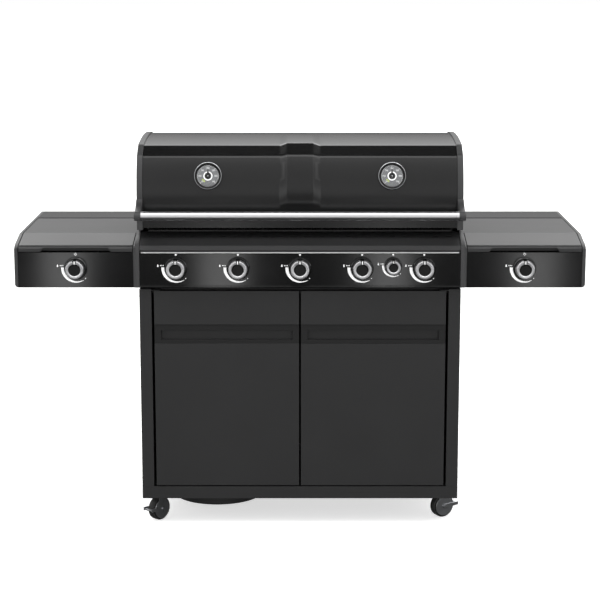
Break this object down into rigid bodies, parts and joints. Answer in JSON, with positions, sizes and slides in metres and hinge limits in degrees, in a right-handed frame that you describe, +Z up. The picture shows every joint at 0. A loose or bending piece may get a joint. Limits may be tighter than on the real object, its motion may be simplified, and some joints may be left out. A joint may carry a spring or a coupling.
{
  "type": "gas barbecue grill",
  "caption": "Free-standing gas barbecue cart with a hinged main lid, closed cabinet on casters and lidded side burners.",
  "frame": {"origin": "on the floor, at the middle of the whole footprint", "axes": "+Z up; +X to the right seen from the front, along the longest size; +Y to the back; the front faces -Y"},
  "size_m": [1.75, 0.6545, 1.2062],
  "materials": {
    "graphite_sheet": "satin",
    "graphite_cast": "satin",
    "cabinet_sheet": "matte",
    "panel_enamel": "gloss",
    "bezel_plastic": "gloss",
    "bright_trim": "polished",
    "firebox_enamel": "gloss",
    "steel": "brushed",
    "cast_iron": "matte",
    "valve_aluminium": "cast",
    "brass": "turned",
    "knob_metal": "satin",
    "needle_black": "matte",
    "caster_tyre": "matte"
  },
  "bodies": {
    "cabinet": {"base_tray": "cabinet_sheet", "side_panel_left": "cabinet_sheet", "side_panel_right": "cabinet_sheet", "back_panel": "cabinet_sheet", "top_frame": "cabinet_sheet", "firebox": "firebox_enamel", "burner_tubes": "steel", "flame_tamers": "steel", "cooking_grates": "cast_iron", "warming_rack": "steel", "rear_burner": "steel", "control_panel": "panel_enamel", "panel_trim": "bright_trim", "console_hood": "graphite_sheet", "cheek_plates": "graphite_cast", "manifold": "steel", "valve_bodies": "valve_aluminium", "knob_bezels": "bezel_plastic", "table_left": "cabinet_sheet", "table_right": "cabinet_sheet", "table_end_caps": "graphite_cast", "ring_burners": "valve_aluminium", "pan_supports": "cast_iron", "rear_caster_forks": "steel"},
    "lid": {"lid_shell": "graphite_sheet", "lid_end_caps": "graphite_cast", "lid_handle": "bright_trim", "handle_brackets": "graphite_cast", "thermometer_cases": "steel"},
    "side_lid_left": {"side_lid_left": "graphite_sheet"},
    "door_left": {"door_left": "cabinet_sheet"},
    "needle_left": {"needle_left": "needle_black"},
    "caster_left": {"caster_fork_left": "steel"},
    "brake_left": {"brake_lever_left": "steel"},
    "wheel_front_left": {"wheel_front_left": "caster_tyre"},
    "wheel_rear_left": {"wheel_rear_left": "caster_tyre"},
    "side_lid_right": {"side_lid_right": "graphite_sheet"},
    "door_right": {"door_right": "cabinet_sheet"},
    "needle_right": {"needle_right": "needle_black"},
    "caster_right": {"caster_fork_right": "steel"},
    "brake_right": {"brake_lever_right": "steel"},
    "wheel_front_right": {"wheel_front_right": "caster_tyre"},
    "wheel_rear_right": {"wheel_rear_right": "caster_tyre"},
    "drip_tray": {"drip_tray": "firebox_enamel"},
    "valve_1": {"valve_plug_1": "brass"},
    "knob_1": {"knob_1": "knob_metal"},
    "valve_2": {"valve_plug_2": "brass"},
    "knob_2": {"knob_2": "knob_metal"},
    "valve_3": {"valve_plug_3": "brass"},
    "knob_3": {"knob_3": "knob_metal"},
    "valve_4": {"valve_plug_4": "brass"},
    "knob_4": {"knob_4": "knob_metal"},
    "valve_5": {"valve_plug_5": "brass"},
    "knob_5": {"knob_5": "knob_metal"},
    "valve_rear": {"valve_plug_rear": "brass"},
    "knob_rear": {"knob_rear": "knob_metal"},
    "valve_table_left": {"valve_plug_table_left": "brass"},
    "knob_table_left": {"knob_table_left": "knob_metal"},
    "valve_table_right": {"valve_plug_table_right": "brass"},
    "knob_table_right": {"knob_table_right": "knob_metal"}
  },
  "joints": [
    {"name": "lid_hinge", "type": "hinge", "parent": "cabinet", "child": "lid", "pos_m": [0, 0.22725, 0.96], "axis": [-1, 0, 0], "range_deg": [0, 85]},
    {"name": "side_lid_left_hinge", "type": "hinge", "parent": "cabinet", "child": "side_lid_left", "pos_m": [-0.687, 0.16925, 0.91], "axis": [-1, 0, 0], "range_deg": [0, 95]},
    {"name": "door_left_hinge", "type": "hinge", "parent": "cabinet", "child": "door_left", "pos_m": [-0.439, -0.24975, 0.4405], "axis": [0, 0, -1], "range_deg": [0, 110]},
    {"name": "needle_left_turn", "type": "hinge", "parent": "lid", "child": "needle_left", "pos_m": [-0.281, -0.24002, 1.10454], "axis": [0, 0.96, -0.2802], "range_deg": [-135, 135]},
    {"name": "caster_left_swivel", "type": "hinge", "parent": "cabinet", "child": "caster_left", "pos_m": [-0.432, -0.18075, 0.1], "axis": [0, 0, 1], "continuous": true},
    {"name": "wheel_front_left_roll", "type": "hinge", "parent": "caster_left", "child": "wheel_front_left", "pos_m": [-0.44873, -0.19933, 0.0375], "axis": [0.7431, -0.6691, 0], "continuous": true},
    {"name": "brake_left_press", "type": "hinge", "parent": "caster_left", "child": "brake_left", "pos_m": [-0.44873, -0.19933, 0.0375], "axis": [0.7431, -0.6691, 0], "range_deg": [-20, 0]},
    {"name": "wheel_rear_left_roll", "type": "hinge", "parent": "cabinet", "child": "wheel_rear_left", "pos_m": [-0.432, 0.17225, 0.0375], "axis": [-1, 0, 0], "continuous": true},
    {"name": "side_lid_right_hinge", "type": "hinge", "parent": "cabinet", "child": "side_lid_right", "pos_m": [0.687, 0.16925, 0.91], "axis": [-1, 0, 0], "range_deg": [0, 95]},
    {"name": "door_right_hinge", "type": "hinge", "parent": "cabinet", "child": "door_right", "pos_m": [0.439, -0.24975, 0.4405], "axis": [0, 0, 1], "range_deg": [0, 110]},
    {"name": "needle_right_turn", "type": "hinge", "parent": "lid", "child": "needle_right", "pos_m": [0.281, -0.24002, 1.10454], "axis": [0, 0.96, -0.2802], "range_deg": [-135, 135]},
    {"name": "caster_right_swivel", "type": "hinge", "parent": "cabinet", "child": "caster_right", "pos_m": [0.432, -0.18075, 0.1], "axis": [0, 0, 1], "continuous": true},
    {"name": "wheel_front_right_roll", "type": "hinge", "parent": "caster_right", "child": "wheel_front_right", "pos_m": [0.45407, -0.16901, 0.0375], "axis": [-0.4695, 0.8829, 0], "continuous": true},
    {"name": "brake_right_press", "type": "hinge", "parent": "caster_right", "child": "brake_right", "pos_m": [0.45407, -0.16901, 0.0375], "axis": [-0.4695, 0.8829, 0], "range_deg": [-20, 0]},
    {"name": "wheel_rear_right_roll", "type": "hinge", "parent": "cabinet", "child": "wheel_rear_right", "pos_m": [0.432, 0.17225, 0.0375], "axis": [-1, 0, 0], "continuous": true},
    {"name": "drip_tray_slide", "type": "slide", "parent": "cabinet", "child": "drip_tray", "axis": [0, 1, 0], "range_m": [0, 0.35]},
    {"name": "valve_1_turn", "type": "hinge", "parent": "cabinet", "child": "valve_1", "pos_m": [-0.38, -0.27275, 0.824], "axis": [0, -1, 0], "range_deg": [0, 225]},
    {"name": "knob_1_push", "type": "slide", "parent": "valve_1", "child": "knob_1", "axis": [0, 1, 0], "range_m": [0, 0.003], "stiffness_N_per_m": 1500, "springref_m": -0.001},
    {"name": "valve_2_turn", "type": "hinge", "parent": "cabinet", "child": "valve_2", "pos_m": [-0.19, -0.27275, 0.824], "axis": [0, -1, 0], "range_deg": [0, 225]},
    {"name": "knob_2_push", "type": "slide", "parent": "valve_2", "child": "knob_2", "axis": [0, 1, 0], "range_m": [0, 0.003], "stiffness_N_per_m": 1500, "springref_m": -0.001},
    {"name": "valve_3_turn", "type": "hinge", "parent": "cabinet", "child": "valve_3", "pos_m": [0, -0.27275, 0.824], "axis": [0, -1, 0], "range_deg": [0, 225]},
    {"name": "knob_3_push", "type": "slide", "parent": "valve_3", "child": "knob_3", "axis": [0, 1, 0], "range_m": [0, 0.003], "stiffness_N_per_m": 1500, "springref_m": -0.001},
    {"name": "valve_4_turn", "type": "hinge", "parent": "cabinet", "child": "valve_4", "pos_m": [0.19, -0.27275, 0.824], "axis": [0, -1, 0], "range_deg": [0, 225]},
    {"name": "knob_4_push", "type": "slide", "parent": "valve_4", "child": "knob_4", "axis": [0, 1, 0], "range_m": [0, 0.003], "stiffness_N_per_m": 1500, "springref_m": -0.001},
    {"name": "valve_5_turn", "type": "hinge", "parent": "cabinet", "child": "valve_5", "pos_m": [0.38, -0.27275, 0.824], "axis": [0, -1, 0], "range_deg": [0, 225]},
    {"name": "knob_5_push", "type": "slide", "parent": "valve_5", "child": "knob_5", "axis": [0, 1, 0], "range_m": [0, 0.003], "stiffness_N_per_m": 1500, "springref_m": -0.001},
    {"name": "valve_rear_turn", "type": "hinge", "parent": "cabinet", "child": "valve_rear", "pos_m": [0.285, -0.27275, 0.831], "axis": [0, -1, 0], "range_deg": [0, 225]},
    {"name": "knob_rear_push", "type": "slide", "parent": "valve_rear", "child": "knob_rear", "axis": [0, 1, 0], "range_m": [0, 0.003], "stiffness_N_per_m": 1500, "springref_m": -0.001},
    {"name": "valve_table_left_turn", "type": "hinge", "parent": "cabinet", "child": "valve_table_left", "pos_m": [-0.687, -0.27275, 0.824], "axis": [0, -1, 0], "range_deg": [0, 225]},
    {"name": "knob_table_left_push", "type": "slide", "parent": "valve_table_left", "child": "knob_table_left", "axis": [0, 1, 0], "range_m": [0, 0.003], "stiffness_N_per_m": 1500, "springref_m": -0.001},
    {"name": "valve_table_right_turn", "type": "hinge", "parent": "cabinet", "child": "valve_table_right", "pos_m": [0.687, -0.27275, 0.824], "axis": [0, -1, 0], "range_deg": [0, 225]},
    {"name": "knob_table_right_push", "type": "slide", "parent": "valve_table_right", "child": "knob_table_right", "axis": [0, 1, 0], "range_m": [0, 0.003], "stiffness_N_per_m": 1500, "springref_m": -0.001}
  ]
}
